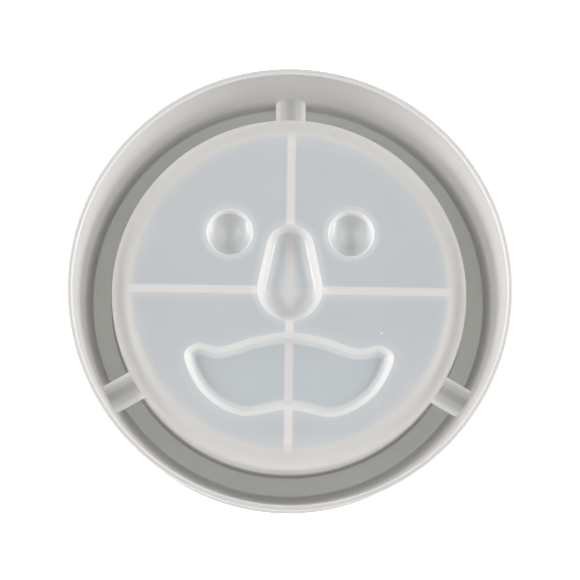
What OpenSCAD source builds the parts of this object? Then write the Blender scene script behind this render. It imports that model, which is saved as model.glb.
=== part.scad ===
// Open casting mould for a round dish with three half-round rests and a plain
// face in its recess. It is one soft rubber moulding, drawn feature by feature.
// Origin: middle of the base, on the table. +Z is up and +Y is towards the
// forehead of the face.

/* [Overall] */
// Outside diameter
outer_d = 120; // [100:1:160]
// Height from the table to the top of the rim
mould_h = 33; // [27:0.5:45]

/* [Outer wall] */
// Wall thickness at the rim
rim_t = 1.5; // [1.3:0.1:2.5]
// How much thicker the wall is at the channel floor than at the rim
wall_draft = 0.9; // [0:0.1:2]
// Height of the rounded lip that tops the wall
lip_h = 1.5; // [1:0.1:3]
// Radius along both top edges of the lip
lip_round = 0.6; // [0.2:0.05:0.65]
// Fillet where the wall meets the channel floor
wall_fillet = 2.2; // [1:0.1:3]

/* [Channel] */
// Width of the channel at its floor
channel_w = 8.5; // [7:0.5:12]
// Thickness of the channel floor
floor_t = 2.5; // [1.5:0.1:4]
// Radius along the outside bottom edge
base_round = 1; // [0.3:0.1:1.4]

/* [Core] */
// Thickness of the core's wall, shoulder and top plate
shell_t = 2.5; // [1.5:0.1:3.5]
// Depth of the plate's top below the rim
plate_drop = 8; // [3:0.5:10]
// Outer radius of the rounded shoulder
shoulder_r = 8.5; // [6:0.5:12]
// Fillet where the core wall meets the channel floor
core_fillet = 1.2; // [0.5:0.1:2]

/* [Rest formers] */
// Width of a half-round rest former
former_w = 8.5; // [6:0.5:10.5]
// Rubber over the hollow of a rest former
former_t = 2.1; // [1.2:0.1:2.5]
// Rubber left at each end of the groove under a former
former_end_t = 1.2; // [0.8:0.1:2]
// Direction of the first former in degrees
first_former = 90; // [0:5:355]

/* [Webs] */
// Thickness of a stiffening web under the plate
web_t = 2.3; // [1.5:0.1:4]

/* [Face] */
// Flat plate kept clear between the face and the shoulder
face_margin = 3.3; // [2.6:0.1:8]
// Rubber round and under each pocket of the face
cup_t = 1.2; // [1:0.1:2.2]
// Depth of an eye dimple
eye_depth = 5; // [3:0.1:6]
// Depth of the nose pocket
nose_depth = 4.5; // [3:0.1:6]
// How far the nose pocket's wall leans in by its floor
nose_slope = 3.6; // [1:0.1:4]
// Depth of the mouth pocket
mouth_depth = 3; // [2:0.1:5]
// How far the mouth pocket's wall leans in by its floor
mouth_slope = 2.2; // [1:0.1:2.2]

/* [Hidden] */
$fn = 128;

// Radii and heights worked out from the sizes above
outer_r = outer_d / 2;
lip_z = mould_h - lip_h;
wall_foot_r = outer_r - rim_t - wall_draft;
wall_rim_r = outer_r - rim_t;
wall_lean = atan2(wall_rim_r - wall_foot_r, lip_z - floor_t);
core_r = wall_foot_r - channel_w;
hollow_r = core_r - shell_t;
plate_r = core_r - shoulder_r;
plate_z = mould_h - plate_drop;
plate_under_z = plate_z - shell_t;
shoulder_z = plate_z - shoulder_r;
hollow_round = shoulder_r - shell_t;
former_r = former_w / 2;
groove_r = former_r - former_t;
former_step = 120;
// How far a cutting shape runs past the surface it opens
over = 1;

// The face is drawn about the middle of the plate in its own millimetres, then
// fitted to the plate. The nose is a round top and a rounder base, joined.
eye_at = [16.5, 15.7];
eye_r = 6.5;
nose_top_at = 11.5;
nose_top_r = 6.7;
nose_base_at = 0.5;
nose_base_r = 9;
// Right half of the mouth's outline, from the middle of its upper edge round
// the tip to the middle of its lower edge; a smooth curve runs through these
mouth_half = [[0, -11.3], [9.5, -12.8], [18.5, -15.5], [25, -14.7], [28.4, -18.5], [23.1, -28.5],
    [12.8, -34.2], [0, -32.5]];
// Points on each stretch of the mouth's curve, and on each of the nose's arcs
curve_steps = 6;
arc_steps = 24;
// Rings down the side of a pocket
pocket_rings = 6;

// Smooth curve through b and c, with a and d as its neighbours, at share t
function curve_point(a, b, c, d, t) =
    (2 * b + (c - a) * t + (2 * a - 5 * b + 4 * c - d) * t * t + (3 * b - a - 3 * c + d) * t * t * t) / 2;

mouth_last = len(mouth_half) - 1;
mouth_knots = concat([for (i = [mouth_last:-1:0]) mouth_half[i]],
    [for (i = [1:mouth_last - 1]) [-mouth_half[i][0], mouth_half[i][1]]]);
knot_count = len(mouth_knots);
function knot(i) = mouth_knots[(i + knot_count) % knot_count];
mouth_curve = [for (i = [0:knot_count - 1], step = [0:curve_steps - 1])
    curve_point(knot(i - 1), knot(i), knot(i + 1), knot(i + 2), step / curve_steps)];

face_reach = max([for (p = mouth_curve) norm(p)]);
face_k = (plate_r - face_margin) / face_reach;
mouth_outline = face_k * mouth_curve;

// Angle at which the nose's straight sides leave its two rounds
nose_lean = asin((nose_base_r - nose_top_r) / (nose_top_at - nose_base_at));
nose_outline = face_k * concat(
    [for (i = [0:arc_steps]) let (a = 180 - nose_lean + i * (180 + 2 * nose_lean) / arc_steps)
        [nose_base_r * cos(a), nose_base_at + nose_base_r * sin(a)]],
    [for (i = [0:arc_steps]) let (a = nose_lean + i * (180 - 2 * nose_lean) / arc_steps)
        [nose_top_r * cos(a), nose_top_at + nose_top_r * sin(a)]]);

// An anticlockwise outline moved inwards by d, or outwards where d is negative
function moved_in(outline, d) = let (n = len(outline))
    [for (i = [0:n - 1]) let (along = outline[(i + 1) % n] - outline[(i + n - 1) % n])
        outline[i] + d * [-along[1], along[0]] / norm(along)];

function cup_bottom(depth) = min(plate_under_z, plate_z - depth - cup_t);

// Quarter of a corner outside a round, for a fillet between a floor and a wall
// that leans away from it by lean degrees. The corner is at the origin, the
// floor runs towards -X, and the wall goes up.
module corner_fillet(r, lean) {
    centre_x = r * (sin(lean) - 1) / cos(lean);
    difference() {
        polygon([[centre_x, 0], [0, 0], [centre_x + r * cos(lean), r - r * sin(lean)], [centre_x, r]]);
        translate([centre_x, r]) circle(r);
    }
}

// Section of the space under the plate
module hollow_section() {
    square([hollow_r, plate_under_z - hollow_round]);
    square([hollow_r - hollow_round, plate_under_z]);
    translate([hollow_r - hollow_round, plate_under_z - hollow_round]) circle(hollow_round);
}

module wall_fillet_section() {
    translate([wall_foot_r, floor_t]) corner_fillet(wall_fillet, wall_lean);
}

module core_fillet_section() {
    translate([core_r, floor_t]) mirror([1, 0]) corner_fillet(core_fillet, 0);
}

// Section of the channel, which a casting fills
module channel_section() {
    difference() {
        polygon([[core_r, floor_t], [wall_foot_r, floor_t], [wall_rim_r, lip_z], [core_r, lip_z]]);
        wall_fillet_section();
        core_fillet_section();
    }
}

// Upright block of a pocket's cup, from its bottom to the plate's top
module cup_block(outline, bottom_z, top_z) {
    translate([0, 0, bottom_z]) linear_extrude(top_z - bottom_z) polygon(moved_in(outline, -cup_t));
}

// Hollow of a pocket: its side starts upright and rounds in to a flat floor
module pocket(outline, depth, slope) {
    count = len(outline);
    rows = concat([[0, plate_z + over]],
        [for (i = [0:pocket_rings]) let (a = 90 * i / pocket_rings)
            [slope * (1 - cos(a)), plate_z - depth * sin(a)]]);
    points = [for (row = rows) each [for (p = moved_in(outline, row[0])) [p[0], p[1], row[1]]]];
    sides = [for (j = [0:len(rows) - 2], i = [0:count - 1]) let (next = (i + 1) % count)
        [j * count + i, j * count + next, (j + 1) * count + next, (j + 1) * count + i]];
    top = [for (i = [count - 1:-1:0]) i];
    floor = [for (i = [0:count - 1]) (len(rows) - 1) * count + i];
    polyhedron(points, concat([top], sides, [floor]));
}

// Outer and inner ball of an eye, which the plate's top cuts off at eye_r
module eye_at_side(side) {
    translate([side * eye_at[0] * face_k, eye_at[1] * face_k, 0]) children();
}

module eye_cup(side) {
    mouth_r = eye_r * face_k;
    ball_r = (mouth_r * mouth_r + eye_depth * eye_depth) / (2 * eye_depth);
    ball_z = plate_z + ball_r - eye_depth;
    color([0.86, 0.87, 0.88]) eye_at_side(side) difference() {
        rotate_extrude() difference() {
            union() {
                translate([0, plate_under_z]) square([mouth_r + cup_t, shell_t]);
                intersection() {
                    translate([0, ball_z]) circle(ball_r + cup_t);
                    square([ball_r + cup_t, plate_under_z + shell_t / 2]);
                }
            }
            translate([0, ball_z]) circle(ball_r);
        }
    }
}

module rest_former(turn) {
    color([0.76, 0.76, 0.75]) rotate([0, 0, first_former + turn * former_step]) difference() {
        intersection() {
            translate([0, 0, floor_t]) rotate([0, 90, 0]) cylinder(r = former_r, h = outer_r);
            rotate_extrude() channel_section();
        }
        former_groove();
    }
}

// Half-round groove that hollows a former from below, through the floor
module former_groove() {
    groove_l = channel_w - 2 * former_end_t;
    translate([core_r + former_end_t, 0, floor_t]) rotate([0, 90, 0]) cylinder(r = groove_r, h = groove_l);
    translate([core_r + former_end_t, -groove_r, -over]) cube([groove_l, 2 * groove_r, floor_t + over]);
}

// One arm of the cross under the plate, pointing along +X before it is turned
module web(angle) {
    color([0.92, 0.92, 0.91]) difference() {
        intersection() {
            rotate([0, 0, angle]) translate([web_t / 2, -web_t / 2, 0]) cube([hollow_r, web_t, plate_z]);
            rotate_extrude() hollow_section();
        }
        cup_block(nose_outline, cup_bottom(nose_depth), plate_z);
        cup_block(mouth_outline, cup_bottom(mouth_depth), plate_z);
    }
}

module rim_lip() {
    color([0.9, 0.89, 0.88]) rotate_extrude() translate([wall_rim_r, lip_z]) {
        square([rim_t, lip_h - lip_round]);
        translate([lip_round, 0]) square([rim_t - 2 * lip_round, lip_h]);
        translate([lip_round, lip_h - lip_round]) circle(lip_round);
        translate([rim_t - lip_round, lip_h - lip_round]) circle(lip_round);
    }
}

module outer_wall() {
    color([0.87, 0.86, 0.85]) rotate_extrude() {
        polygon([[wall_foot_r, floor_t], [outer_r, floor_t], [outer_r, lip_z], [wall_rim_r, lip_z]]);
        wall_fillet_section();
    }
}

module channel_floor() {
    color([0.68, 0.69, 0.67]) difference() {
        rotate_extrude() {
            translate([hollow_r, 0]) square([outer_r - base_round - hollow_r, floor_t]);
            translate([hollow_r, base_round]) square([outer_r - hollow_r, floor_t - base_round]);
            translate([outer_r - base_round, base_round]) circle(base_round);
        }
        for (turn = [0:2]) rotate([0, 0, first_former + turn * former_step]) former_groove();
    }
}

module core_wall() {
    color([0.84, 0.83, 0.82]) rotate_extrude() {
        translate([hollow_r, floor_t]) square([shell_t, shoulder_z - floor_t]);
        core_fillet_section();
    }
}

module core_shoulder() {
    color([0.84, 0.83, 0.82]) rotate_extrude() translate([plate_r, shoulder_z]) intersection() {
        difference() {
            circle(shoulder_r);
            circle(hollow_round);
        }
        square(shoulder_r);
    }
}

module core_plate() {
    color([0.77, 0.79, 0.8]) difference() {
        translate([0, 0, plate_under_z]) cylinder(r = plate_r, h = shell_t);
        for (side = [-1, 1]) eye_at_side(side)
            translate([0, 0, plate_under_z - over]) cylinder(r = eye_r * face_k + cup_t, h = shell_t + 2 * over);
        cup_block(nose_outline, plate_under_z - over, plate_z + over);
        cup_block(mouth_outline, plate_under_z - over, plate_z + over);
    }
}

module rest_former_top() { rest_former(0); }
module rest_former_left() { rest_former(1); }
module rest_former_right() { rest_former(2); }
module eye_cup_left() { eye_cup(-1); }
module eye_cup_right() { eye_cup(1); }

module nose_cup() {
    color([0.8, 0.82, 0.82]) difference() {
        cup_block(nose_outline, cup_bottom(nose_depth), plate_z);
        pocket(nose_outline, nose_depth, nose_slope);
    }
}

// On a small plate the nose's cup comes close, and the mouth's gives way to it
module mouth_cup() {
    color([0.8, 0.82, 0.83]) difference() {
        cup_block(mouth_outline, cup_bottom(mouth_depth), plate_z);
        pocket(mouth_outline, mouth_depth, mouth_slope);
        cup_block(nose_outline, cup_bottom(nose_depth), plate_z + over);
    }
}

module web_right() { web(0); }
module web_top() { web(90); }
module web_left() { web(180); }
module web_bottom() { web(270); }

module web_hub() {
    color([0.92, 0.92, 0.91]) difference() {
        translate([-web_t / 2, -web_t / 2, 0]) cube([web_t, web_t, plate_under_z]);
        cup_block(nose_outline, cup_bottom(nose_depth), plate_z);
    }
}

rim_lip();
outer_wall();
channel_floor();
core_wall();
core_shoulder();
core_plate();
rest_former_top();
rest_former_left();
rest_former_right();
eye_cup_left();
eye_cup_right();
nose_cup();
mouth_cup();
web_top();
web_bottom();
web_left();
web_right();
web_hub();
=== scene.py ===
"""Looks of an open casting mould in milky silicone rubber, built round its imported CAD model.

The mould stands on its base at the origin, +Z up, with the forehead of its face towards +Y. Every class below is
one group of the mould's features. It reads its sizes from the frame, turns or presses its pieces out of bmesh
shapes, and dresses them in rubber.
"""

import logging
import math
from collections.abc import Iterable, Sequence
from dataclasses import dataclass
from enum import Enum

import bmesh
import bpy
from mathutils import Matrix, Vector


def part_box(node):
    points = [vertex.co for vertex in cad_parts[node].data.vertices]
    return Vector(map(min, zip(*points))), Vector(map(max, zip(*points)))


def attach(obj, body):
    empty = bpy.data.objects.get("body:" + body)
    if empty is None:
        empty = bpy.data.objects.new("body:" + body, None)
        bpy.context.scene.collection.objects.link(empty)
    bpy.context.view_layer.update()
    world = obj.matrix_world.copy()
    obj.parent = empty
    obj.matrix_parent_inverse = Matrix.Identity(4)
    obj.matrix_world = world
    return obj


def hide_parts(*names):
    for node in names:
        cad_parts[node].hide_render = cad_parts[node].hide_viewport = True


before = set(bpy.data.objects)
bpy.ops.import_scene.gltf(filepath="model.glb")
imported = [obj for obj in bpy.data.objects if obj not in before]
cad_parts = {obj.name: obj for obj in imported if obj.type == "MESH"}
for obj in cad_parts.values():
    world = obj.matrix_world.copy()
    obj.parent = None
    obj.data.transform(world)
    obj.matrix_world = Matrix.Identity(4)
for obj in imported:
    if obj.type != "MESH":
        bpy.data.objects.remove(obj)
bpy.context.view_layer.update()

MM = 0.001
BODY = "root"
UP = Vector((0.0, 0.0, 1.0))
RING_STEPS = 256
CUP_STEPS = 64
ARC_STEPS = 10
SHARP_ANGLE = math.radians(32.0)
WELD = 0.002 * MM
BLACK = (0.0, 0.0, 0.0, 1.0)
WHITE = (1.0, 1.0, 1.0, 1.0)
RUBBER_IOR = 1.41

Colour = tuple[float, float, float]

log = logging.getLogger("mould")


# ---------------------------------------------------------------------------------------------------------------
# Sizes


@dataclass(frozen=True)
class MouldSizes:
    """Radii and heights of the mould in metres, most of them read from the frame.

    The sizes from web_past_plate on are where a tint starts and where it is full: past the plate's edge, down from
    the plate, up from the channel floor, and in from the outside. The first three tints are painted light and shade.
    """

    outer_r: float
    rim_z: float
    lip_z: float
    floor_z: float
    core_r: float
    shoulder_z: float
    plate_r: float
    plate_z: float
    plate_under_z: float
    former_r: float
    web_t: float
    lip_t: float = 1.5 * MM
    wall_draft: float = 0.9 * MM
    lip_round: float = 0.62 * MM
    wall_fillet: float = 2.2 * MM
    core_fillet: float = 1.2 * MM
    base_round: float = 1.0 * MM
    base_inner_round: float = 0.3 * MM
    former_t: float = 2.1 * MM
    former_end_t: float = 1.2 * MM
    pocket_t: float = 1.2 * MM
    web_past_plate: float = 3.9 * MM
    deep_start: float = 0.1 * MM
    deep_full: float = 1.0 * MM
    foot_top: float = 8.0 * MM
    foot_full: float = 3.0 * MM
    outside_start: float = 0.6 * MM
    outside_full: float = 0.2 * MM

    @property
    def shell_t(self) -> float:
        """Thickness of the core's shell."""
        return self.plate_z - self.plate_under_z

    @property
    def hollow_r(self) -> float:
        """Inner radius of the hollow core."""
        return self.core_r - self.shell_t

    @property
    def shoulder_round(self) -> float:
        """Outer radius of the rounded shoulder."""
        return self.core_r - self.plate_r

    @property
    def hollow_round(self) -> float:
        """Inner radius of the rounded shoulder."""
        return self.shoulder_round - self.shell_t

    @property
    def wall_rim_r(self) -> float:
        """Inner radius of the outer wall under its lip."""
        return self.outer_r - self.lip_t

    @property
    def wall_foot_r(self) -> float:
        """Inner radius of the outer wall at the channel floor."""
        return self.wall_rim_r - self.wall_draft

    @classmethod
    def from_frame(cls) -> "MouldSizes":
        """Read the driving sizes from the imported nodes' boxes.

        Returns:
            The mould's sizes.
        """
        lip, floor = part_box("rim_lip"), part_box("channel_floor")
        shoulder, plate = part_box("core_shoulder"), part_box("core_plate")
        former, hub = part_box("rest_former_top"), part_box("web_hub")
        return cls(
            outer_r=lip[1][0],
            rim_z=lip[1][2],
            lip_z=lip[0][2],
            floor_z=floor[1][2],
            core_r=shoulder[1][0],
            shoulder_z=shoulder[0][2],
            plate_r=plate[1][0],
            plate_z=plate[1][2],
            plate_under_z=plate[0][2],
            former_r=former[1][0],
            web_t=hub[1][0] - hub[0][0],
        )


# ---------------------------------------------------------------------------------------------------------------
# Mesh helpers


@dataclass(frozen=True)
class Corner:
    """A corner of a turned section, at radius r and height z, rounded off over reach along both of its sides."""

    r: float
    z: float
    reach: float = 0.0


def section_wire(corners: Sequence[Corner]) -> bmesh.types.BMesh:
    """Draw a closed section in the XZ plane and round its corners.

    Args:
        corners: The section's corners in order.

    Returns:
        A bmesh of edges only.
    """
    mesh = bmesh.new()
    verts = [mesh.verts.new((c.r, 0.0, c.z)) for c in corners]
    for near, far in zip(verts, verts[1:] + verts[:1]):
        mesh.edges.new((near, far))
    for vert, corner in zip(verts, corners):
        if corner.reach > 0.0:
            bmesh.ops.bevel(mesh, geom=[vert], offset=corner.reach, offset_type="OFFSET", affect="VERTICES",
                            segments=ARC_STEPS, profile=0.5, material=-1)
    return mesh


def turn(mesh: bmesh.types.BMesh, centre: Vector = Vector(), steps: int = RING_STEPS) -> bmesh.types.BMesh:
    """Turn a wire section into a closed ring or dome.

    Args:
        mesh: The wire section, in the XZ plane.
        centre: A point on the upright axis; the section is drawn about that axis at the origin.
        steps: How many steps the full turn takes.

    Returns:
        The same bmesh, closed, with its faces pointing outwards.
    """
    bmesh.ops.spin(mesh, geom=mesh.verts[:] + mesh.edges[:], cent=(0.0, 0.0, 0.0), axis=UP, dvec=(0.0, 0.0, 0.0),
                   angle=math.tau, steps=steps, use_merge=True)
    bmesh.ops.translate(mesh, verts=mesh.verts[:], vec=centre)
    return closed(mesh)


def closed(mesh: bmesh.types.BMesh) -> bmesh.types.BMesh:
    """Weld doubles and point every face outwards.

    Args:
        mesh: A shape with no gaps.

    Returns:
        The same bmesh.
    """
    bmesh.ops.remove_doubles(mesh, verts=mesh.verts[:], dist=WELD)
    bmesh.ops.dissolve_degenerate(mesh, edges=mesh.edges[:], dist=WELD)
    bmesh.ops.recalc_face_normals(mesh, faces=mesh.faces[:])
    return mesh


def push_out(mesh: bmesh.types.BMesh, move: Vector) -> bmesh.types.BMesh:
    """Give a flat sheet or an open wall its thickness.

    Args:
        mesh: A sheet of faces.
        move: How far and which way the sheet is pushed out.

    Returns:
        The same bmesh, closed, with its faces pointing outwards.
    """
    raised = bmesh.ops.extrude_face_region(mesh, geom=mesh.faces[:])
    moved = [part for part in raised["geom"] if isinstance(part, bmesh.types.BMVert)]
    bmesh.ops.translate(mesh, verts=moved, vec=move)
    return closed(mesh)


def block(size: Sequence[float], middle: Sequence[float]) -> bmesh.types.BMesh:
    """Make a square-edged block.

    Args:
        size: Its length along each axis.
        middle: Its middle point.

    Returns:
        A closed block.
    """
    mesh = bmesh.new()
    bmesh.ops.create_cube(mesh, size=1.0)
    bmesh.ops.scale(mesh, verts=mesh.verts[:], vec=size)
    bmesh.ops.translate(mesh, verts=mesh.verts[:], vec=middle)
    return mesh


def swing(mesh: bmesh.types.BMesh, angle: float) -> bmesh.types.BMesh:
    """Turn a shape about the upright axis at the origin, and return it."""
    bmesh.ops.rotate(mesh, verts=mesh.verts[:], cent=(0.0, 0.0, 0.0), matrix=Matrix.Rotation(angle, 3, "Z"))
    return mesh


def smooth_shaded(mesh: bmesh.types.BMesh) -> None:
    """Shade every face smooth, with a crease where two faces meet at more than SHARP_ANGLE.

    Args:
        mesh: The shape to shade.
    """
    for face in mesh.faces:
        face.smooth = True
    for edge in mesh.edges:
        edge.smooth = not edge.is_manifold or edge.calc_face_angle(0.0) < SHARP_ANGLE


def add_piece(name: str, mesh: bmesh.types.BMesh, finish: bpy.types.Material, nodes: Sequence[str]) -> bpy.types.Object:
    """Turn a bmesh into a piece that rides on the mould and stands for CAD nodes.

    Args:
        name: The piece's name.
        mesh: Its shape, in the mould's own frame.
        finish: Its material.
        nodes: The CAD nodes that it replaces.

    Returns:
        The new object.
    """
    smooth_shaded(mesh)
    data = bpy.data.meshes.new(name)
    mesh.to_mesh(data)
    mesh.free()
    piece = bpy.data.objects.new(name, data)
    bpy.context.scene.collection.objects.link(piece)
    data.materials.append(finish)
    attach(piece, BODY)
    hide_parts(*nodes)
    log.info("%s: %d faces", name, len(data.polygons))
    return piece


def carve(piece: bpy.types.Object, cutters: Iterable[bmesh.types.BMesh]) -> None:
    """Cut closed shapes out of a piece, and bake the result into its mesh.

    Args:
        piece: The piece to cut.
        cutters: Closed shapes in the mould's frame. They are freed.
    """
    helpers = []
    for number, cutter in enumerate(cutters):
        data = bpy.data.meshes.new(f"cutter_{number}")
        cutter.to_mesh(data)
        cutter.free()
        helper = bpy.data.objects.new(f"cutter_{number}", data)
        bpy.context.scene.collection.objects.link(helper)
        helpers.append(helper)
        cut = piece.modifiers.new(f"cut_{number}", "BOOLEAN")
        cut.object, cut.operation, cut.solver = helper, "DIFFERENCE", "EXACT"
    graph = bpy.context.evaluated_depsgraph_get()
    carved = bpy.data.meshes.new_from_object(piece.evaluated_get(graph), depsgraph=graph)
    piece.modifiers.clear()
    spare = piece.data
    piece.data = carved
    bpy.data.meshes.remove(spare)
    carved.name = piece.name
    for helper in helpers:
        data = helper.data
        bpy.data.objects.remove(helper)
        bpy.data.meshes.remove(data)


def inward_directions(outline: Sequence[Vector]) -> list[Vector]:
    """Find which way is inwards all round an outline.

    Args:
        outline: The points of a flat outline, anticlockwise.

    Returns:
        The inward direction at each point.
    """
    directions = []
    for before, after in zip(outline[-1:] + outline[:-1], outline[1:] + outline[:1]):
        along = (after - before).normalized()
        directions.append(Vector((-along.y, along.x, 0.0)))
    return directions


def inscribed_radii(outline: Sequence[Vector], inwards: Sequence[Vector]) -> list[float]:
    """Find how much room an outline leaves inside it.

    Args:
        outline: The points of a flat outline.
        inwards: The inward direction at each point.

    Returns:
        For each point, the radius of the largest circle that touches the outline there and stays inside it.
    """
    radii = []
    for point, inward in zip(outline, inwards):
        room = [gap.length_squared / (2.0 * inward.dot(gap)) for gap in (other - point for other in outline)
                if inward.dot(gap) > WELD]
        radii.append(min(room))
    return radii


def offset_outline(outline: Sequence[Vector], inwards: float) -> list[Vector]:
    """Move an anticlockwise flat outline inwards, or outwards where inwards is negative."""
    return [point + inwards * inward for point, inward in zip(outline, inward_directions(outline))]


def outline_loop(mesh: bmesh.types.BMesh, outline: Sequence[Vector], z: float) -> list[bmesh.types.BMEdge]:
    """Draw a closed flat outline at height z and return its edges."""
    verts = [mesh.verts.new((p.x, p.y, z)) for p in outline]
    return [mesh.edges.new(pair) for pair in zip(verts, verts[1:] + verts[:1])]


# ---------------------------------------------------------------------------------------------------------------
# Finishes


class NodeTree:
    """A thin helper that adds nodes to one tree and links them."""

    def __init__(self, tree: bpy.types.NodeTree) -> None:
        """Work on the given tree."""
        self.tree = tree

    def add(self, kind: str, **settings: object) -> bpy.types.Node:
        """Add a node.

        Args:
            kind: The node's type name.
            **settings: Values of its properties, by name.

        Returns:
            The node.
        """
        node = self.tree.nodes.new(kind)
        for name, value in settings.items():
            setattr(node, name, value)
        return node

    def feed(self, socket: bpy.types.NodeSocket, value: object) -> None:
        """Link a socket to an output, or set its value.

        Args:
            socket: The input socket.
            value: An output socket, or a plain value.
        """
        if isinstance(value, bpy.types.NodeSocket):
            self.tree.links.new(value, socket)
        else:
            socket.default_value = value

    def math(self, operation: str, *values: object, clamp: bool = False) -> bpy.types.NodeSocket:
        """Add a Math node.

        Args:
            operation: The node's operation.
            *values: Its inputs, as sockets or plain values.
            clamp: Whether the result is kept between 0 and 1.

        Returns:
            The result.
        """
        node = self.add("ShaderNodeMath", operation=operation, use_clamp=clamp)
        for socket, value in zip(node.inputs, values):
            self.feed(socket, value)
        return node.outputs[0]

    def ramp(self, value: object, low: object, high: object, out_low: float = 0.0,
             out_high: float = 1.0) -> bpy.types.NodeSocket:
        """Ease a value from one level to another.

        Args:
            value: The value to ease.
            low: Where the result is out_low.
            high: Where the result is out_high.
            out_low: The first level.
            out_high: The second level.

        Returns:
            The result.
        """
        node = self.add("ShaderNodeMapRange", interpolation_type="SMOOTHSTEP")
        for name, given in (("Value", value), ("From Min", low), ("From Max", high), ("To Min", out_low),
                            ("To Max", out_high)):
            self.feed(node.inputs[name], given)
        return node.outputs[0]

    def mix(self, share: object, first: object, second: object) -> bpy.types.NodeSocket:
        """Mix two colours.

        Args:
            share: The share of the second colour.
            first: The first colour.
            second: The second colour.

        Returns:
            The mixed colour.
        """
        node = self.add("ShaderNodeMix", data_type="RGBA")
        self.feed(node.inputs[0], share)
        self.feed(node.inputs[6], first)
        self.feed(node.inputs[7], second)
        return node.outputs[2]

    def split(self, vector: object) -> Sequence[bpy.types.NodeSocket]:
        """Split a vector.

        Args:
            vector: The vector's output socket.

        Returns:
            The sockets of its three parts.
        """
        node = self.add("ShaderNodeSeparateXYZ")
        self.feed(node.inputs[0], vector)
        return node.outputs

    def noise(self, vector: object, scale: float, detail: float = 2.0,
              roughness: float = 0.5) -> bpy.types.NodeSocket:
        """Add a noise.

        Args:
            vector: The places that it is read at.
            scale: Its cells per metre.
            detail: How many finer layers it has.
            roughness: How strong the finer layers are.

        Returns:
            The noise's value.
        """
        node = self.add("ShaderNodeTexNoise")
        self.feed(node.inputs["Vector"], vector)
        for name, given in (("Scale", scale), ("Detail", detail), ("Roughness", roughness)):
            node.inputs[name].default_value = given
        return node.outputs[0]


def node_group(name: str, inputs: Sequence[tuple[str, str, object]],
               outputs: Sequence[tuple[str, str]]) -> tuple[bpy.types.NodeTree, NodeTree, bpy.types.Node,
                                                            bpy.types.Node]:
    """Start a shader node group with named sockets.

    Args:
        name: The group's name.
        inputs: Name, socket type and default value of each input.
        outputs: Name and socket type of each output.

    Returns:
        The group, a helper on it, its input node and its output node.
    """
    group = bpy.data.node_groups.new(name, "ShaderNodeTree")
    for label, kind, value in inputs:
        socket = group.interface.new_socket(label, in_out="INPUT", socket_type=kind)
        if value is not None:
            socket.default_value = value
    for label, kind in outputs:
        group.interface.new_socket(label, in_out="OUTPUT", socket_type=kind)
    tree = NodeTree(group)
    return group, tree, tree.add("NodeGroupInput"), tree.add("NodeGroupOutput")


@dataclass(frozen=True)
class Skin:
    """Pattern of the skin of cast rubber. A noise is given by its cells per metre, detail and roughness."""

    ripple: tuple[float, float, float] = (260.0, 3.0, 0.55)
    ripple_share: float = 0.35
    swell: tuple[float, float, float] = (45.0, 1.0, 0.4)
    gloss_patches: tuple[float, float, float] = (90.0, 4.0, 0.6)
    patchiness: float = 0.1
    clouds: tuple[float, float, float] = (55.0, 5.0, 0.65)
    cloud_start: float = 0.4
    cloud_full: float = 0.8
    cloud_share: float = 0.06
    dust_scale: float = 150.0
    dust_full: float = 0.03
    dust_edge: float = 0.07
    dusty_scale: float = 70.0
    dusty_above: float = 0.66

    def group(self) -> bpy.types.NodeTree:
        """Build the group: faint ripple, patchy gloss, thin clouds and a few specks of dust.

        Returns:
            The group.
        """
        group, tree, given, result = node_group(
            "moulded_skin",
            [("Vector", "NodeSocketVector", None), ("Gloss", "NodeSocketFloat", 0.3),
             ("Patchiness", "NodeSocketFloat", self.patchiness)],
            [("Height", "NodeSocketFloat"), ("Roughness", "NodeSocketFloat"), ("Specks", "NodeSocketFloat"),
             ("Cloud", "NodeSocketFloat")])
        vector = given.outputs["Vector"]
        ripple = tree.math("MULTIPLY", tree.noise(vector, *self.ripple), self.ripple_share)
        height = tree.math("ADD", ripple, tree.noise(vector, *self.swell))
        patches = tree.math("SUBTRACT", tree.noise(vector, *self.gloss_patches), 0.5)
        spread = tree.math("MULTIPLY", patches, given.outputs["Patchiness"])
        dust = tree.add("ShaderNodeTexVoronoi", feature="F1")
        tree.feed(dust.inputs["Vector"], vector)
        dust.inputs["Scale"].default_value = self.dust_scale
        dusty = tree.math("GREATER_THAN", tree.noise(vector, self.dusty_scale, 0.0), self.dusty_above)
        speck = tree.ramp(dust.outputs["Distance"], self.dust_edge, self.dust_full)
        cloud = tree.ramp(tree.noise(vector, *self.clouds), self.cloud_start, self.cloud_full, 0.0, self.cloud_share)
        tree.feed(result.inputs["Height"], height)
        tree.feed(result.inputs["Roughness"], tree.math("ADD", given.outputs["Gloss"], spread, clamp=True))
        tree.feed(result.inputs["Specks"], tree.math("MULTIPLY", speck, dusty))
        tree.feed(result.inputs["Cloud"], cloud)
        return group


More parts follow.
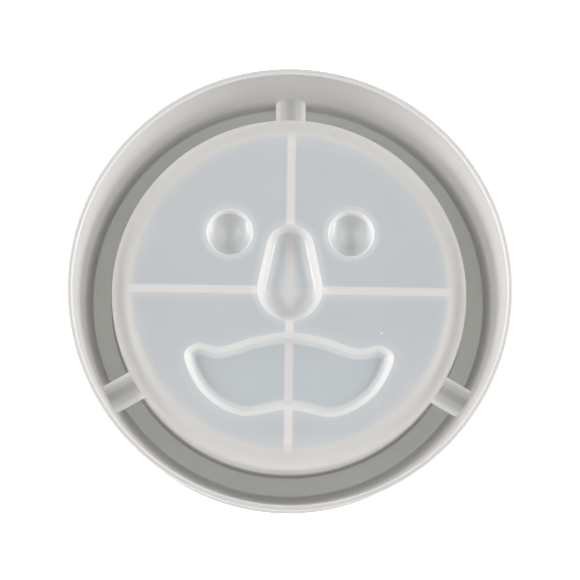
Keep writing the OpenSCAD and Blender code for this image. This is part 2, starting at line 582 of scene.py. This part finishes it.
def painted_web_light_group(sizes: MouldSizes) -> bpy.types.NodeTree:
    """Build the group that paints light onto the thin rubber over the cross of webs that stands under it.

    A faint painted band of light in front of the crossing arms stands for their side, seen through the rubber. It fades
    out towards their ends.

    Args:
        sizes: The mould's sizes.

    Returns:
        The group.
    """
    end_blur, fringe_end, fringe_share = 1.0 * MM, 2.0 * MM, 0.3
    group, tree, given, result = node_group(
        "painted_web_light",
        [("Vector", "NodeSocketVector", None), ("Half Width", "NodeSocketFloat", sizes.web_t / 2.0),
         ("Reach", "NodeSocketFloat", sizes.plate_r + sizes.web_past_plate), ("Blur", "NodeSocketFloat", 0.35 * MM),
         ("Fringe", "NodeSocketFloat", 2.4 * MM)],
        [("Mask", "NodeSocketFloat")])
    place = tree.split(given.outputs["Vector"])
    x, y = (tree.math("ABSOLUTE", place[i]) for i in range(2))
    half, reach, blur = (given.outputs[name] for name in ("Half Width", "Reach", "Blur"))
    arms = []
    for across, along in ((x, y), (y, x)):
        width = tree.ramp(across, tree.math("ADD", half, blur), tree.math("SUBTRACT", half, blur))
        length = tree.ramp(along, tree.math("ADD", reach, end_blur), tree.math("SUBTRACT", reach, end_blur))
        arms.append(tree.math("MULTIPLY", width, length))
    in_front = tree.math("MULTIPLY", place[1], -1.0)
    fringe = tree.math("MULTIPLY", tree.ramp(in_front, tree.math("ADD", half, given.outputs["Fringe"]), half),
                       tree.math("GREATER_THAN", in_front, 0.0))
    fringe = tree.math("MULTIPLY", tree.math("MULTIPLY", fringe, fringe_share),
                       tree.ramp(x, reach, tree.math("SUBTRACT", reach, fringe_end)))
    tree.feed(result.inputs["Mask"], tree.math("MAXIMUM", tree.math("MAXIMUM", *arms), fringe))
    return group


def milkiness_group() -> bpy.types.NodeTree:
    """Build the group that finds where the rubber slopes and where it stands upright, which sets where light and shade
    are painted into the colour.

    Returns:
        The group.
    """
    group, tree, given, result = node_group(
        "milkiness", [("Normal", "NodeSocketVector", None)],
        [("Sloping", "NodeSocketFloat"), ("Upright", "NodeSocketFloat")])
    slope_start, slope_full, upright_start, upright_full = -0.01, 0.08, 0.02, 0.7
    facing_up = tree.math("ABSOLUTE", tree.split(given.outputs["Normal"])[2])
    tilt = tree.math("SUBTRACT", 1.0, facing_up)
    tree.feed(result.inputs["Sloping"], tree.ramp(tilt, slope_start, slope_full))
    tree.feed(result.inputs["Upright"], tree.ramp(tilt, upright_start, upright_full))
    return group


@dataclass(frozen=True)
class Effects:
    """The shader groups that every rubber shares."""

    skin: bpy.types.NodeTree
    webs: bpy.types.NodeTree
    milk: bpy.types.NodeTree

    @classmethod
    def build(cls, sizes: MouldSizes) -> "Effects":
        """Build each group once, for the mould's sizes."""
        return cls(skin=Skin().group(), webs=painted_web_light_group(sizes), milk=milkiness_group())


@dataclass(frozen=True)
class Rubber:
    """A finish of milky silicone.

    Its colour has light and shade painted into it by tilt: a painted shade makes it bluish grey where it lies flat,
    and painted light makes it warmer where it slopes and white where it stands upright. It has painted light and shade
    on a pocket's deep floor (lighter in the eyes and nose, darker in the mouth), painted light over a web and at the
    foot of the wall, and a darker tint of its own on the outside of the mould. The painted glow is an emission on steep
    faces that stands in for the light that reaches a face through the rubber from further off.
    """

    name: str
    flat: Colour
    sloping: Colour
    upright: Colour
    deep: Colour | None = None
    deep_web: Colour | None = None
    web: Colour | None = None
    foot: Colour | None = None
    outside: Colour | None = None
    glow: float = 0.5
    gloss: float = 0.34
    # Strength of the painted glow: an emission on steep faces that stands in for light carried through the rubber.
    painted_glow: float = 0.07
    bump_strength: float = 0.1
    bump_height: float = 0.2 * MM
    web_fades: tuple[float, float] = (0.45, 0.1)
    dust: Colour = (0.9, 0.9, 0.9)

    def dress(self, effects: Effects, sizes: MouldSizes) -> bpy.types.Material:
        """Make the material.

        Args:
            effects: The shared shader groups.
            sizes: The mould's sizes.

        Returns:
            The material.
        """
        material = bpy.data.materials.new(self.name)
        material.use_nodes = True
        material.node_tree.nodes.clear()
        tree = NodeTree(material.node_tree)
        place = tree.add("ShaderNodeTexCoord")
        milk = tree.add("ShaderNodeGroup", node_tree=effects.milk)
        tree.feed(milk.inputs["Normal"], place.outputs["Normal"])
        flat, web = (*self.flat, 1.0), (*(self.web or self.flat), 1.0)
        spot = place.outputs["Object"]
        # Painted light and shade on a pocket's deep floor: lighter in the eyes and nose, darker in the mouth.
        if self.deep:
            sunk = tree.ramp(tree.split(spot)[2], sizes.plate_z - sizes.deep_start, sizes.plate_z - sizes.deep_full)
            flat = tree.mix(sunk, flat, (*self.deep, 1.0))
            web = tree.mix(sunk, web, (*(self.deep_web or self.deep), 1.0))
        # Painted light and shade by tilt: bluish grey where the rubber lies flat, lighter where it slopes, whitest
        # where it stands upright.
        colour = tree.mix(milk.outputs["Sloping"], flat, (*self.sloping, 1.0))
        colour = tree.mix(milk.outputs["Upright"], colour, (*self.upright, 1.0))
        # Painted light at the foot of the wall: a tint of its own, a little lighter than the wall above, evens out the
        # shade in the channel's corner.
        if self.foot:
            low = tree.ramp(tree.split(spot)[2], sizes.floor_z + sizes.foot_top, sizes.floor_z + sizes.foot_full)
            colour = tree.mix(low, colour, (*self.foot, 1.0))
        # Painted glow: steep faces emit light in their upright colour, though the rubber is no lamp.
        painted_glow = tree.mix(milk.outputs["Upright"], BLACK, (*self.upright, 1.0))
        if self.outside:
            x, y, _ = tree.split(spot)
            squares = tree.math("ADD", tree.math("MULTIPLY", x, x), tree.math("MULTIPLY", y, y))
            out = tree.ramp(tree.math("SQRT", squares), sizes.outer_r - sizes.outside_start,
                            sizes.outer_r - sizes.outside_full)
            colour = tree.mix(out, colour, (*self.outside, 1.0))
            painted_glow = tree.mix(out, painted_glow, BLACK)
        # Painted light over the webs: a lighter colour where a web stands under the rubber, fading out on steep faces.
        if self.web:
            webs = tree.add("ShaderNodeGroup", node_tree=effects.webs)
            tree.feed(webs.inputs["Vector"], spot)
            lying = tree.ramp(milk.outputs["Upright"], *self.web_fades)
            colour = tree.mix(tree.math("MULTIPLY", webs.outputs["Mask"], lying), colour, web)
        skin = tree.add("ShaderNodeGroup", node_tree=effects.skin)
        tree.feed(skin.inputs["Vector"], spot)
        skin.inputs["Gloss"].default_value = self.gloss
        clouded = tree.mix(skin.outputs["Cloud"], colour, (*self.upright, 1.0))
        colour = tree.mix(skin.outputs["Specks"], clouded, (*self.dust, 1.0))
        bump = tree.add("ShaderNodeBump")
        bump.inputs["Strength"].default_value = self.bump_strength
        bump.inputs["Distance"].default_value = self.bump_height
        tree.feed(bump.inputs["Height"], skin.outputs["Height"])
        face = tree.add("ShaderNodeBsdfPrincipled")
        tree.feed(face.inputs["Base Color"], colour)
        tree.feed(face.inputs["Roughness"], skin.outputs["Roughness"])
        tree.feed(face.inputs["Normal"], bump.outputs[0])
        face.inputs["IOR"].default_value = RUBBER_IOR
        tree.feed(face.inputs["Emission Color"], painted_glow)
        face.inputs["Emission Strength"].default_value = self.painted_glow / (1.0 - self.glow)
        inside = tree.add("ShaderNodeBsdfTranslucent")
        tree.feed(inside.inputs["Color"], colour)
        tree.feed(inside.inputs["Normal"], bump.outputs[0])
        both = tree.add("ShaderNodeMixShader")
        both.inputs[0].default_value = self.glow
        tree.feed(both.inputs[1], face.outputs[0])
        tree.feed(both.inputs[2], inside.outputs[0])
        result = tree.add("ShaderNodeOutputMaterial")
        tree.feed(result.inputs["Surface"], both.outputs[0])
        return material


class Feature(Enum):
    """The features of the mould that have a finish of their own."""

    WALL = "wall"
    LIP = "lip"
    FLOOR = "floor"
    CORE = "core"
    SHOULDER = "shoulder"
    PLATE = "plate"
    EYE = "eye"
    NOSE = "nose"
    MOUTH = "mouth"
    FORMER = "former"
    WEB = "web"


# Painted shade and light: bluish grey on thin flat rubber, and a lighter colour on a pocket's sloping side.
SHADED_THIN_FLAT: Colour = (0.555, 0.58, 0.601)
# Painted light: lighter colours where a web stands under the rubber, and where it stands under a pocket's deep floor.
LIT_OVER_WEB: Colour = (0.75, 0.73, 0.72)
LIT_DEEP_OVER_WEB: Colour = (0.75, 0.74, 0.73)
LIT_POCKET_SLOPE: Colour = (0.7, 0.715, 0.72)
POCKET_GLOSS = 0.14

# The flat, sloping and upright colours paint light and shade by tilt; the deep, web and foot tints and the emission on
# steep faces are painted light as well.
RUBBERS = {
    Feature.WALL: Rubber(
        "wall_rubber", (0.7, 0.685, 0.67), (0.74, 0.725, 0.71), (0.67, 0.655, 0.64), foot=(0.7, 0.69, 0.67),
        outside=(0.47, 0.475, 0.47), glow=0.44, painted_glow=0.12),
    Feature.LIP: Rubber(
        "lip_rubber", (0.6, 0.585, 0.57), (0.66, 0.645, 0.63), (0.9, 0.885, 0.87), glow=0.36, painted_glow=0.0),
    Feature.FLOOR: Rubber(
        "floor_rubber", (0.56, 0.57, 0.545), (0.58, 0.58, 0.56), (0.9, 0.9, 0.88), outside=(0.45, 0.455, 0.45),
        glow=0.35),
    Feature.CORE: Rubber(
        "core_rubber", (0.6, 0.6, 0.59), (0.75, 0.74, 0.72), (0.96, 0.945, 0.93), glow=0.45, painted_glow=0.13),
    Feature.SHOULDER: Rubber(
        "shoulder_rubber", SHADED_THIN_FLAT, (0.7, 0.69, 0.675), (0.99, 0.975, 0.96), web=LIT_OVER_WEB, glow=0.45,
        painted_glow=0.09),
    Feature.PLATE: Rubber(
        "plate_rubber", SHADED_THIN_FLAT, (0.62, 0.61, 0.595), (0.9, 0.885, 0.87), web=LIT_OVER_WEB, glow=0.45),
    Feature.EYE: Rubber(
        "eye_rubber", SHADED_THIN_FLAT, (0.67, 0.685, 0.69), (0.85, 0.84, 0.83), deep=(0.75, 0.78, 0.79),
        deep_web=LIT_DEEP_OVER_WEB, web=LIT_OVER_WEB, glow=0.4, gloss=POCKET_GLOSS, painted_glow=0.08),
    Feature.NOSE: Rubber(
        "nose_rubber", SHADED_THIN_FLAT, LIT_POCKET_SLOPE, (0.78, 0.77, 0.76), deep=(0.67, 0.7, 0.72),
        deep_web=LIT_DEEP_OVER_WEB, web=LIT_OVER_WEB, glow=0.4, gloss=POCKET_GLOSS, painted_glow=0.08),
    Feature.MOUTH: Rubber(
        "mouth_rubber", SHADED_THIN_FLAT, LIT_POCKET_SLOPE, (0.88, 0.865, 0.85), deep=(0.53, 0.56, 0.58),
        deep_web=(0.71, 0.695, 0.69), web=LIT_OVER_WEB, glow=0.42, gloss=POCKET_GLOSS, painted_glow=0.1),
    Feature.FORMER: Rubber(
        "former_rubber", (0.7, 0.71, 0.71), (0.88, 0.88, 0.87), (0.96, 0.955, 0.945), glow=0.6, painted_glow=0.24),
    Feature.WEB: Rubber(
        "web_rubber", (0.8, 0.79, 0.775), (0.82, 0.81, 0.795), (0.9, 0.89, 0.87)),
}


# ---------------------------------------------------------------------------------------------------------------
# Sub-assemblies


@dataclass
class OuterWall:
    """The drafted wall that holds the resin, and the rounded lip on top of it."""

    sizes: MouldSizes
    wall_finish: bpy.types.Material
    lip_finish: bpy.types.Material

    def build(self) -> None:
        """Make the wall and its lip."""
        s = self.sizes
        wall = turn(section_wire([
            Corner(s.wall_foot_r, s.floor_z, s.wall_fillet), Corner(s.wall_foot_r - s.wall_fillet, s.floor_z),
            Corner(s.outer_r, s.floor_z), Corner(s.outer_r, s.lip_z), Corner(s.wall_rim_r, s.lip_z)]))
        add_piece("silicone_outer_wall", wall, self.wall_finish, ["outer_wall"])
        lip = turn(section_wire([
            Corner(s.wall_rim_r, s.lip_z), Corner(s.outer_r, s.lip_z), Corner(s.outer_r, s.rim_z, s.lip_round),
            Corner(s.wall_rim_r, s.rim_z, s.lip_round)]))
        add_piece("silicone_rim_lip", lip, self.lip_finish, ["rim_lip"])


@dataclass
class Channel:
    """The ring floor of the channel and the three hollow half-round rest formers that cross it."""

    sizes: MouldSizes
    floor_finish: bpy.types.Material
    former_finish: bpy.types.Material
    overlap: float = 1.0 * MM
    angles: tuple[tuple[str, float], ...] = (("top", 90.0), ("left", 210.0), ("right", 330.0))

    @property
    def groove_r(self) -> float:
        """Radius of the groove that hollows a former from below."""
        return self.sizes.former_r - self.sizes.former_t

    def build(self) -> None:
        """Make the floor, its grooves and the formers."""
        s = self.sizes
        ring = turn(section_wire([
            Corner(s.hollow_r, 0.0, s.base_inner_round), Corner(s.outer_r, 0.0, s.base_round),
            Corner(s.outer_r, s.floor_z), Corner(s.hollow_r, s.floor_z)]))
        floor = add_piece("silicone_channel_floor", ring, self.floor_finish, ["channel_floor"])
        carve(floor, [self.groove(math.radians(angle)) for _, angle in self.angles])
        for side, angle in self.angles:
            former = self.former(math.radians(angle))
            add_piece(f"silicone_rest_former_{side}", former, self.former_finish, [f"rest_former_{side}"])

    def groove(self, angle: float) -> bmesh.types.BMesh:
        """Cut a former's groove through the floor.

        Args:
            angle: The former's direction, in radians.

        Returns:
            A closed block in the groove's place.
        """
        s = self.sizes
        start, end = s.core_r + s.former_end_t, s.wall_foot_r - s.former_end_t
        size = (end - start, 2.0 * self.groove_r, 2.0 * s.floor_z + self.overlap)
        return swing(block(size, ((start + end) / 2.0, 0.0, 0.0)), angle)

    def former(self, angle: float) -> bmesh.types.BMesh:
        """Make one hollow half-round former, whose ends run into the walls.

        Args:
            angle: Its direction, in radians.

        Returns:
            A closed half tube.
        """
        s = self.sizes
        start, end = s.core_r - self.overlap, s.wall_foot_r + self.overlap
        mesh = bmesh.new()
        for radius in (s.former_r, self.groove_r):
            vert = mesh.verts.new((start, radius, s.floor_z))
            bmesh.ops.spin(mesh, geom=[vert], cent=(start, 0.0, s.floor_z), axis=(1.0, 0.0, 0.0),
                           dvec=(0.0, 0.0, 0.0), angle=math.pi, steps=4 * ARC_STEPS, use_merge=False)
        bmesh.ops.bridge_loops(mesh, edges=mesh.edges[:])
        return swing(push_out(mesh, Vector((end - start, 0.0, 0.0))), angle)


@dataclass(frozen=True)
class PocketSide:
    """Section of a pocket's side: a rounded edge, a steep wall, then a dish that eases out onto the floor."""

    depth: float
    wall_reach: float
    wall_drop: float
    dish_reach: float
    edge_round: float = 0.3 * MM
    edge_rings: int = 5
    wall_rings: int = 4
    dish_rings: int = 12

    def edge(self, angle: float) -> tuple[float, float]:
        """How far in and how far down the rounded edge lies where it has turned by an angle."""
        return self.edge_round * math.sin(angle), self.edge_round * (1.0 - math.cos(angle))

    def section(self) -> list[tuple[float, float]]:
        """Step down the side from its edge to the floor.

        Returns:
            How far in and how far down each ring of the side lies.
        """
        lean = math.atan2(self.wall_drop, self.wall_reach)
        rings = [self.edge(lean * i / self.edge_rings) for i in range(self.edge_rings + 1)]
        edge_in, edge_down = rings[-1]
        for i in range(1, self.wall_rings + 1):
            part = i / self.wall_rings
            rings.append((edge_in + part * (self.wall_reach - edge_in),
                          edge_down + part * (self.wall_drop - edge_down)))
        for i in range(1, self.dish_rings + 1):
            part = i / self.dish_rings
            rings.append((self.wall_reach + part * self.dish_reach,
                          self.wall_drop + (self.depth - self.wall_drop) * (1.0 - (1.0 - part) ** 2)))
        return rings


@dataclass
class Face:
    """The pockets of the face: two round dimples, a pear-shaped nose and a wide lobed mouth.

    The outlines are in millimetres about the middle of the plate, and scale is what brings them to the frame. A
    pressed ring goes in by no more than room_used of the room that its outline leaves.
    """

    sizes: MouldSizes
    eye_finish: bpy.types.Material
    nose_finish: bpy.types.Material
    mouth_finish: bpy.types.Material
    eye_side: PocketSide = PocketSide(depth=5.0 * MM, wall_reach=0.9 * MM, wall_drop=3.3 * MM, dish_reach=5.6 * MM)
    nose_top: tuple[float, float] = (11.5, 6.7)
    nose_base: tuple[float, float] = (0.5, 9.0)
    nose_side: PocketSide = PocketSide(depth=4.5 * MM, wall_reach=1.85 * MM, wall_drop=3.6 * MM, dish_reach=2.9 * MM)
    mouth_half: tuple[tuple[float, float], ...] = (
        (0.0, -11.3), (9.5, -12.8), (18.5, -15.5), (25.0, -14.7), (28.4, -18.5), (23.1, -28.5), (12.8, -34.2),
        (0.0, -32.5))
    mouth_side: PocketSide = PocketSide(depth=3.0 * MM, wall_reach=1.7 * MM, wall_drop=2.3 * MM, dish_reach=2.0 * MM)
    curve_steps: int = 12
    room_used: float = 0.97

    @property
    def scale(self) -> float:
        """Metres per drawn millimetre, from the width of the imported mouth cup."""
        low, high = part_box("mouth_cup")
        reach = max(point.x for point in self.curve())
        return ((high[0] - low[0]) / 2.0 - self.sizes.pocket_t) / reach

    def curve(self) -> list[Vector]:
        """Run a smooth closed curve through the mouth's points and their mirror images.

        Returns:
            The curve's points in millimetres, anticlockwise.
        """
        left = [(-x, y) for x, y in self.mouth_half[1:-1]]
        knots = [Vector((x, y, 0.0)) for x, y in (*reversed(self.mouth_half), *left)]
        count = len(knots)
        points = []
        for i in range(count):
            a, b, c, d = (knots[(i + k) % count] for k in (-1, 0, 1, 2))
            for step in range(self.curve_steps):
                t = step / self.curve_steps
                points.append((2 * b + (c - a) * t + (2 * a - 5 * b + 4 * c - d) * t * t
                               + (3 * b - a - 3 * c + d) * t ** 3) / 2)
        return points

    def nose_outline(self) -> list[Vector]:
        """Join the nose's round top and rounder base with their common tangents.

        Returns:
            The outline's points, anticlockwise.
        """
        (top_y, top_r), (base_y, base_r) = self.nose_top, self.nose_base
        lean = math.asin((base_r - top_r) / (top_y - base_y))
        steps = 4 * self.curve_steps
        points = []
        for radius, middle, start, sweep in ((base_r, base_y, math.pi - lean, math.pi + 2 * lean),
                                             (top_r, top_y, lean, math.pi - 2 * lean)):
            for i in range(steps + 1):
                angle = start + sweep * i / steps
                points.append(Vector((radius * math.cos(angle), middle + radius * math.sin(angle), 0.0)))
        scale = self.scale
        return [point * scale for point in points]

    def mouth_outline(self) -> list[Vector]:
        """The mouth's outline, at the frame's scale."""
        scale = self.scale
        return [point * scale for point in self.curve()]

    def build(self) -> None:
        """Make the four cups."""
        for side in ("left", "right"):
            node = f"eye_cup_{side}"
            add_piece(f"silicone_{node}", self.eye_cup(node), self.eye_finish, [node])
        nose = self.pressed_cup("nose_cup", self.nose_outline(), self.nose_side)
        add_piece("silicone_nose_cup", nose, self.nose_finish, ["nose_cup"])
        mouth = self.pressed_cup("mouth_cup", self.mouth_outline(), self.mouth_side)
        add_piece("silicone_mouth_cup", mouth, self.mouth_finish, ["mouth_cup"])

    def eye_cup(self, node: str) -> bmesh.types.BMesh:
        """Turn a round dimple and the rubber round it.

        Args:
            node: The CAD node that it stands for.

        Returns:
            A closed cup.
        """
        s = self.sizes
        low, high = (Vector(corner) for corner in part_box(node))
        centre = (low + high) / 2.0
        flange_r = (high.x - low.x) / 2.0
        mouth_r = flange_r - s.pocket_t
        side = [Corner(mouth_r - reach, s.plate_z - drop) for reach, drop in self.eye_side.section()]
        depth = s.plate_z - low.z - s.pocket_t
        ball_r = (mouth_r ** 2 + depth ** 2) / (2.0 * depth) + s.pocket_t
        ball_z = low.z + ball_r
        widest = math.acos((ball_z - s.plate_under_z) / ball_r)
        dome = [Corner(ball_r * math.sin(angle), ball_z - ball_r * math.cos(angle))
                for angle in (widest * i / (2 * ARC_STEPS) for i in range(2 * ARC_STEPS + 1))]
        section = [*side, *dome, Corner(flange_r, s.plate_under_z), Corner(flange_r, s.plate_z)]
        return turn(section_wire(section), Vector((centre.x, centre.y, 0.0)), CUP_STEPS)

    def pressed_cup(self, node: str, outline: Sequence[Vector], side: PocketSide) -> bmesh.types.BMesh:
        """Raise a block on an outline and press a pocket into its top.

        Args:
            node: The CAD node that it stands for.
            outline: The pocket's edge on the plate's top.
            side: The section of the pocket's side.

        Returns:
            A closed cup.
        """
        s = self.sizes
        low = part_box(node)[0]
        inwards = inward_directions(outline)
        room = inscribed_radii(outline, inwards)
        mesh = bmesh.new()
        station = mesh.verts.layers.int.new("station")
        base_verts = [mesh.verts.new((p.x, p.y, low[2])) for p in offset_outline(outline, -s.pocket_t)]
        for i, vert in enumerate(base_verts):
            vert[station] = i
        top = mesh.faces.new(base_verts)
        rings = [(-s.pocket_t, s.plate_z)] + [(reach, s.plate_z - drop) for reach, drop in side.section()]
        for ring, (reach, height) in enumerate(rings):
            raised = bmesh.ops.extrude_face_region(mesh, geom=[top])
            if ring > 0:
                bmesh.ops.delete(mesh, geom=[top], context="FACES_ONLY")
            top = next(part for part in raised["geom"] if isinstance(part, bmesh.types.BMFace))
            for vert in top.verts:
                i = vert[station]
                vert.co = outline[i] + min(reach, self.room_used * room[i]) * inwards[i]
                vert.co.z = height
        return closed(mesh)


@dataclass
class Core:
    """The hollow core: its upright wall, its round shoulder and the thin plate with the face in it."""

    sizes: MouldSizes
    face: Face
    wall_finish: bpy.types.Material
    shoulder_finish: bpy.types.Material
    plate_finish: bpy.types.Material

    def build(self) -> None:
        """Make the wall, the shoulder and the plate."""
        s = self.sizes
        wall = turn(section_wire([
            Corner(s.core_r, s.floor_z, s.core_fillet), Corner(s.core_r + s.core_fillet, s.floor_z),
            Corner(s.hollow_r, s.floor_z), Corner(s.hollow_r, s.shoulder_z), Corner(s.core_r, s.shoulder_z)]))
        add_piece("silicone_core_wall", wall, self.wall_finish, ["core_wall"])
        shoulder = turn(section_wire([
            Corner(s.core_r, s.shoulder_z), Corner(s.core_r, s.plate_z, s.shoulder_round),
            Corner(s.plate_r, s.plate_z), Corner(s.plate_r, s.plate_under_z),
            Corner(s.hollow_r, s.plate_under_z, s.hollow_round), Corner(s.hollow_r, s.shoulder_z)]))
        add_piece("silicone_core_shoulder", shoulder, self.shoulder_finish, ["core_shoulder"])
        add_piece("silicone_core_plate", self.plate(), self.plate_finish, ["core_plate"])

    def plate(self) -> bmesh.types.BMesh:
        """Fill the plate between its edge and the four cups, and give it its thickness.

        Returns:
            A closed plate.
        """
        s = self.sizes
        mesh = bmesh.new()
        bmesh.ops.create_circle(mesh, cap_ends=False, radius=s.plate_r, segments=RING_STEPS,
                                matrix=Matrix.Translation((0.0, 0.0, s.plate_z)))
        for node in ("eye_cup_left", "eye_cup_right"):
            low, high = (Vector(corner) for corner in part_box(node))
            centre = (low + high) / 2.0
            bmesh.ops.create_circle(mesh, cap_ends=False, radius=(high.x - low.x) / 2.0, segments=CUP_STEPS,
                                    matrix=Matrix.Translation((centre.x, centre.y, s.plate_z)))
        for outline in (self.face.nose_outline(), self.face.mouth_outline()):
            outline_loop(mesh, offset_outline(outline, -s.pocket_t), s.plate_z)
        bmesh.ops.triangle_fill(mesh, use_beauty=True, use_dissolve=False, edges=mesh.edges[:], normal=UP)
        return push_out(mesh, -s.shell_t * UP)


class Side(Enum):
    """The sides of the cross, each with its direction in degrees."""

    RIGHT = 0.0
    TOP = 90.0
    LEFT = 180.0
    BOTTOM = 270.0


@dataclass
class Webs:
    """The cross of stiffening webs that stands under the plate, and grips a little way into what it touches."""

    sizes: MouldSizes
    finish: bpy.types.Material
    grip: float = 0.6 * MM

    def build(self) -> None:
        """Make the four arms and the hub between them."""
        for side in Side:
            node = f"web_{side.name.lower()}"
            add_piece(f"silicone_{node}", self.arm(side), self.finish, [node])
        add_piece("silicone_web_hub", self.hub(), self.finish, ["web_hub"])

    def arm(self, side: Side) -> bmesh.types.BMesh:
        """Cut one arm to the hollow's shape and to the cups above it.

        Args:
            side: The side of the cross that it is on.

        Returns:
            A closed web.
        """
        s = self.sizes
        cup_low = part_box("web_hub")[1][2] + self.grip
        nose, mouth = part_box("nose_cup"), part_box("mouth_cup")
        start = s.web_t / 2.0
        top = s.plate_under_z + self.grip
        end = s.hollow_r + self.grip
        steps: list[tuple[float, float]] = []
        if side is Side.TOP:
            steps = [(nose[1][1], top), (nose[1][1], cup_low)]
        elif side is Side.BOTTOM:
            mouth_low = mouth[0][2] + self.grip
            steps = [(-mouth[0][1], top), (-mouth[0][1], mouth_low), (-nose[0][1], mouth_low),
                     (-nose[0][1], cup_low)]
        else:
            steps = [(nose[1][0], top), (nose[1][0], cup_low)]
        corners = [Corner(start, 0.0), Corner(end, 0.0), Corner(end, top, s.hollow_round),
                   *(Corner(r, z) for r, z in steps), Corner(start, cup_low)]
        mesh = section_wire(corners)
        bmesh.ops.contextual_create(mesh, geom=mesh.edges[:])
        bmesh.ops.translate(mesh, verts=mesh.verts[:], vec=(0.0, -s.web_t / 2.0, 0.0))
        return swing(push_out(mesh, Vector((0.0, s.web_t, 0.0))), math.radians(side.value))

    def hub(self) -> bmesh.types.BMesh:
        """Stand a square post where the arms cross.

        Returns:
            A closed post.
        """
        s = self.sizes
        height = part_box("web_hub")[1][2] + self.grip
        return closed(block((s.web_t, s.web_t, height), (0.0, 0.0, height / 2.0)))


# ---------------------------------------------------------------------------------------------------------------
# Studio


@dataclass(frozen=True)
class Softbox:
    """A rectangular lamp that faces the mould: its middle, its width and height, and its power in watts."""

    name: str
    place: tuple[float, float, float]
    size: tuple[float, float]
    power: float

    def hang(self, target: Vector) -> None:
        """Hang the lamp.

        Args:
            target: The point that it faces.
        """
        data = bpy.data.lights.new(self.name, "AREA")
        data.shape, data.energy = "RECTANGLE", self.power
        data.size, data.size_y = self.size
        lamp = bpy.data.objects.new(self.name, data)
        lamp.location = self.place
        lamp.rotation_euler = (target - Vector(self.place)).to_track_quat("-Z", "Y").to_euler()
        bpy.context.scene.collection.objects.link(lamp)


def side_lamps(name: str, side: float) -> tuple[Softbox, ...]:
    """Plan the lamps on one side of the mould.

    Args:
        name: The side's name.
        side: The side's sign, -1.0 for left or 1.0 for right.

    Returns:
        The lamps.
    """
    return (Softbox(f"wide_softbox_{name}", (side * 0.8, 0.0, 0.43), (0.8, 0.5), 7.1),
            Softbox(f"side_glow_{name}", (side * 0.7, 0.0, 0.09), (0.4, 0.12), 1.4),
            Softbox(f"low_strip_{name}", (side * 0.8, -0.155, 0.58), (0.6, 0.05), 2.4),
            Softbox(f"high_strip_{name}", (side * 0.5, 0.0, 0.86), (0.4, 0.08), 0.6))


@dataclass
class Studio:
    """A white table, soft lamps and the camera."""

    sizes: MouldSizes
    lamps: tuple[Softbox, ...] = (*side_lamps("left", -1.0), *side_lamps("right", 1.0),
                                  Softbox("back_softbox", (0.0, 0.85, 0.45), (0.8, 0.4), 1.2))
    air_light: float = 0.36
    table_reach: float = 4.0
    table_white: Colour = (0.93, 0.93, 0.93)
    table_roughness: float = 0.9
    table_light: float = 0.5
    camera_above: float = 500.0 * MM
    camera_aside: tuple[float, float] = (-8.0 * MM, -70.0 * MM)
    aim_aside: tuple[float, float] = (-0.09 * MM, -1.07 * MM)
    lens: float = 116.8
    roll: float = math.radians(0.7)
    clip: tuple[float, float] = (0.01, 20.0)

    @property
    def rim_middle(self) -> Vector:
        """The middle of the rim's circle."""
        return self.sizes.rim_z * UP

    def build(self) -> None:
        """Set up table, light and camera."""
        self.table()
        for lamp in self.lamps:
            lamp.hang(self.rim_middle)
        world = bpy.data.worlds.new("studio_air")
        bpy.context.scene.world = world
        world.use_nodes = True
        air = world.node_tree.nodes["Background"]
        air.inputs["Color"].default_value = WHITE
        air.inputs["Strength"].default_value = self.air_light
        bpy.context.scene.view_settings.view_transform = "Standard"
        self.camera()

    def table(self) -> None:
        """Lay a wide white table under the mould."""
        mesh = bmesh.new()
        bmesh.ops.create_grid(mesh, x_segments=1, y_segments=1, size=self.table_reach)
        data = bpy.data.meshes.new("table")
        mesh.to_mesh(data)
        mesh.free()
        table = bpy.data.objects.new("table", data)
        bpy.context.scene.collection.objects.link(table)
        material = bpy.data.materials.new("white_table")
        material.use_nodes = True
        shader = material.node_tree.nodes["Principled BSDF"]
        shader.inputs["Base Color"].default_value = (*self.table_white, 1.0)
        shader.inputs["Roughness"].default_value = self.table_roughness
        shader.inputs["Emission Color"].default_value = WHITE
        shader.inputs["Emission Strength"].default_value = self.table_light
        data.materials.append(material)

    def camera(self) -> None:
        """Look down at the rim from a little in front and to the left."""
        data = bpy.data.cameras.new("camera")
        data.lens = self.lens
        camera = bpy.data.objects.new("camera", data)
        target = self.rim_middle + Vector((*self.aim_aside, 0.0))
        camera.location = target + Vector((*self.camera_aside, self.camera_above))
        back = (camera.location - target).normalized()
        ahead = Vector((0.0, 1.0, 0.0))
        up = (ahead - ahead.dot(back) * back).normalized()
        right = up.cross(back)
        facing = Matrix((right, up, back)).transposed()
        camera.rotation_euler = (facing @ Matrix.Rotation(self.roll, 3, "Z")).to_euler()
        data.clip_start, data.clip_end = self.clip
        bpy.context.scene.collection.objects.link(camera)
        bpy.context.scene.camera = camera


def main() -> None:
    """Build the mould and the studio round it."""
    logging.basicConfig(level=logging.INFO, format="%(name)s: %(message)s")
    sizes = MouldSizes.from_frame()
    effects = Effects.build(sizes)
    finish = {feature: rubber.dress(effects, sizes) for feature, rubber in RUBBERS.items()}
    face = Face(sizes, finish[Feature.EYE], finish[Feature.NOSE], finish[Feature.MOUTH])
    OuterWall(sizes, finish[Feature.WALL], finish[Feature.LIP]).build()
    Channel(sizes, finish[Feature.FLOOR], finish[Feature.FORMER]).build()
    Core(sizes, face, finish[Feature.CORE], finish[Feature.SHOULDER], finish[Feature.PLATE]).build()
    face.build()
    Webs(sizes, finish[Feature.WEB]).build()
    Studio(sizes).build()


if __name__ == "__main__":
    main()
